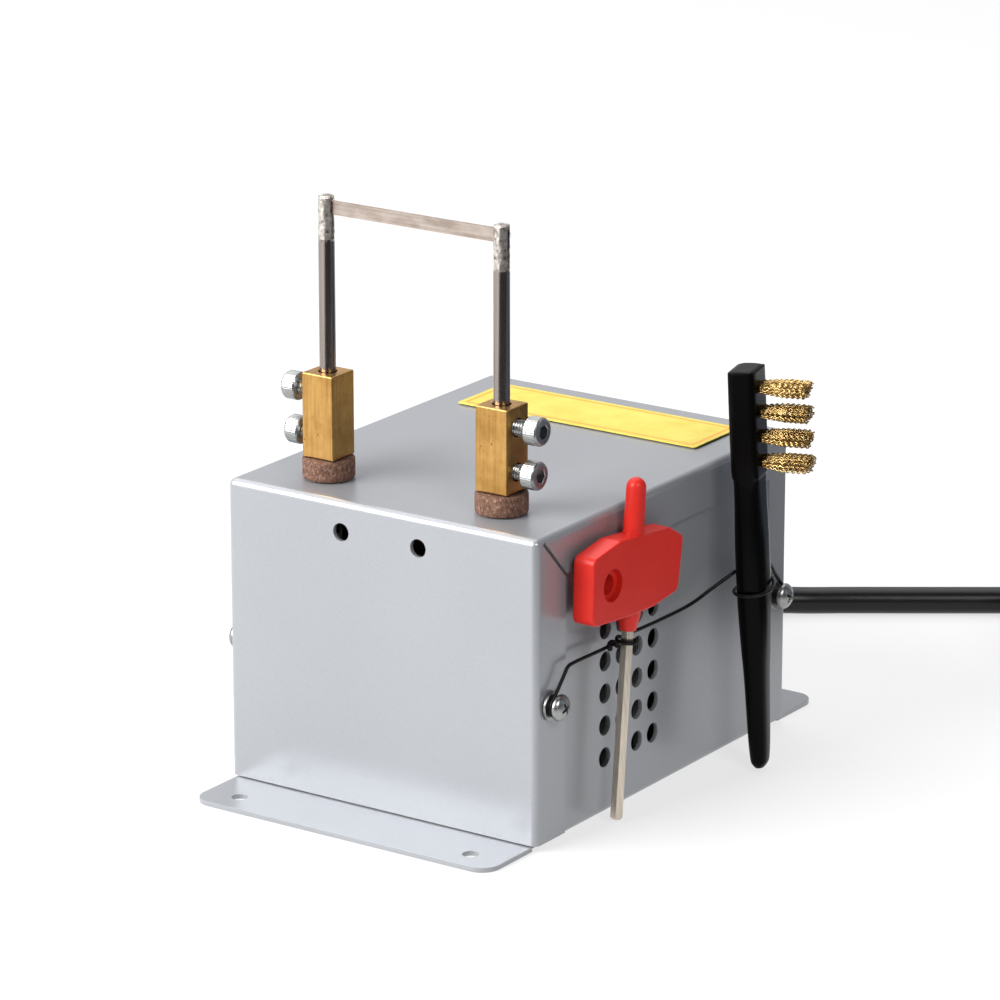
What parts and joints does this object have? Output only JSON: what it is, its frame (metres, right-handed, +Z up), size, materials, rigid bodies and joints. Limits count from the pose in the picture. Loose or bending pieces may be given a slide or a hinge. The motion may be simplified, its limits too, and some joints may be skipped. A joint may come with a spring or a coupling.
{
  "type": "benchtop hot blade cutter",
  "caption": "Benchtop hot blade cutter: sheet-metal transformer case with brass posts that clamp rods holding a resistance strip, with a hex key, wire brush and mains lead.",
  "frame": {"origin": "centre of the base plate's underside, on the surface that the machine stands on", "axes": "+Z up, +X to the right seen from the front, +Y to the rear, where the mains lead leaves"},
  "size_m": [0.2191, 0.2769, 0.1472],
  "materials": {
    "silver_paint": "silver-grey powder coat with a fine orange-peel texture",
    "zinc_plate": "bright zinc plate",
    "nickel_steel": "nickel-plated steel",
    "brass": "drawn brass with saw and mill marks",
    "brass_wire": "crimped brass wire",
    "copper": "bare copper, a little oxidised",
    "nichrome": "rolled resistance alloy strip",
    "insulating_fibre": "brown cotton-filled phenolic, cut surface",
    "laminated_steel": "varnished silicon-steel laminations",
    "enamelled_wire": "enamelled copper wire",
    "white_nylon": "moulded nylon",
    "black_pvc": "extruded or moulded soft vinyl",
    "black_rubber": "moulded rubber",
    "black_plastic": "moulded plastic, semi-gloss",
    "annealed_wire": "black annealed steel wire",
    "red_plastic": "moulded plastic, satin",
    "label_yellow": "printed adhesive label",
    "brown_pvc": "wire insulation",
    "blue_pvc": "wire insulation",
    "green_yellow_pvc": "wire insulation"
  },
  "bodies": {
    "enclosure": {"base_chassis": "silver_paint", "cord_coil": "black_pvc", "cord_gland": "black_rubber", "cord_tail": "black_pvc", "core_bolt_lower_left": "zinc_plate", "core_bolt_lower_right": "zinc_plate", "core_bolt_upper_left": "zinc_plate", "core_bolt_upper_right": "zinc_plate", "core_foot_front": "zinc_plate", "core_foot_rear": "zinc_plate", "cover": "silver_paint", "cover_screw_front_left": "zinc_plate", "cover_screw_front_right": "zinc_plate", "cover_screw_rear_left": "zinc_plate", "cover_screw_rear_right": "zinc_plate", "earth_core": "green_yellow_pvc", "foot_screw_front_left": "zinc_plate", "foot_screw_front_right": "zinc_plate", "foot_screw_rear_left": "zinc_plate", "foot_screw_rear_right": "zinc_plate", "holder_wire": "annealed_wire", "insulating_bush_left": "insulating_fibre", "insulating_bush_right": "insulating_fibre", "live_core": "brown_pvc", "lower_insulator_left": "insulating_fibre", "lower_insulator_right": "insulating_fibre", "mains_cord": "black_pvc", "mains_terminal_strip": "white_nylon", "neutral_core": "blue_pvc", "plug_body": "black_pvc", "plug_pin_earth": "brass", "plug_pin_live": "brass", "plug_pin_neutral": "brass", "primary_lead_live": "enamelled_wire", "primary_lead_neutral": "enamelled_wire", "primary_winding": "enamelled_wire", "secondary_strap_left": "copper", "secondary_strap_right": "copper", "secondary_winding": "copper", "terminal_block_left": "brass", "terminal_block_right": "brass", "terminal_nut_left": "brass", "terminal_nut_right": "brass", "top_label": "label_yellow", "transformer_core": "laminated_steel", "winding_bobbin": "white_nylon"},
    "blade_head": {"electrode_rod_left": "nickel_steel", "electrode_rod_right": "nickel_steel", "resistance_strip": "nichrome"},
    "clamp_left_lower": {"clamp_screw_left_lower": "zinc_plate"},
    "clamp_left_upper": {"clamp_screw_left_upper": "zinc_plate"},
    "clamp_right_lower": {"clamp_screw_right_lower": "zinc_plate"},
    "clamp_right_upper": {"clamp_screw_right_upper": "zinc_plate"},
    "hex_key": {"hex_key_handle": "red_plastic", "hex_key_shank": "nickel_steel"},
    "brush": {"brush_handle": "black_plastic", "brush_tuft_1": "brass_wire", "brush_tuft_2": "brass_wire", "brush_tuft_3": "brass_wire", "brush_tuft_4": "brass_wire"}
  },
  "joints": [
    {"name": "blade_lift", "type": "slide", "parent": "enclosure", "child": "blade_head", "axis": [0, 0, 1], "range_m": [0, 0.016]},
    {"name": "clamp_left_lower_back_off", "type": "slide", "parent": "enclosure", "child": "clamp_left_lower", "axis": [-1, 0, 0], "range_m": [0, 0.0014]},
    {"name": "clamp_left_upper_back_off", "type": "slide", "parent": "enclosure", "child": "clamp_left_upper", "axis": [-1, 0, 0], "range_m": [0, 0.0014]},
    {"name": "clamp_right_lower_back_off", "type": "slide", "parent": "enclosure", "child": "clamp_right_lower", "axis": [1, 0, 0], "range_m": [0, 0.0014]},
    {"name": "clamp_right_upper_back_off", "type": "slide", "parent": "enclosure", "child": "clamp_right_upper", "axis": [1, 0, 0], "range_m": [0, 0.0014]},
    {"name": "key_lift", "type": "slide", "parent": "enclosure", "child": "hex_key", "axis": [0, 0.0941, 0.9956], "range_m": [0, 0.05]},
    {"name": "brush_lift", "type": "slide", "parent": "enclosure", "child": "brush", "axis": [-0.0567, 0, 0.9984], "range_m": [0, 0.05]}
  ]
}
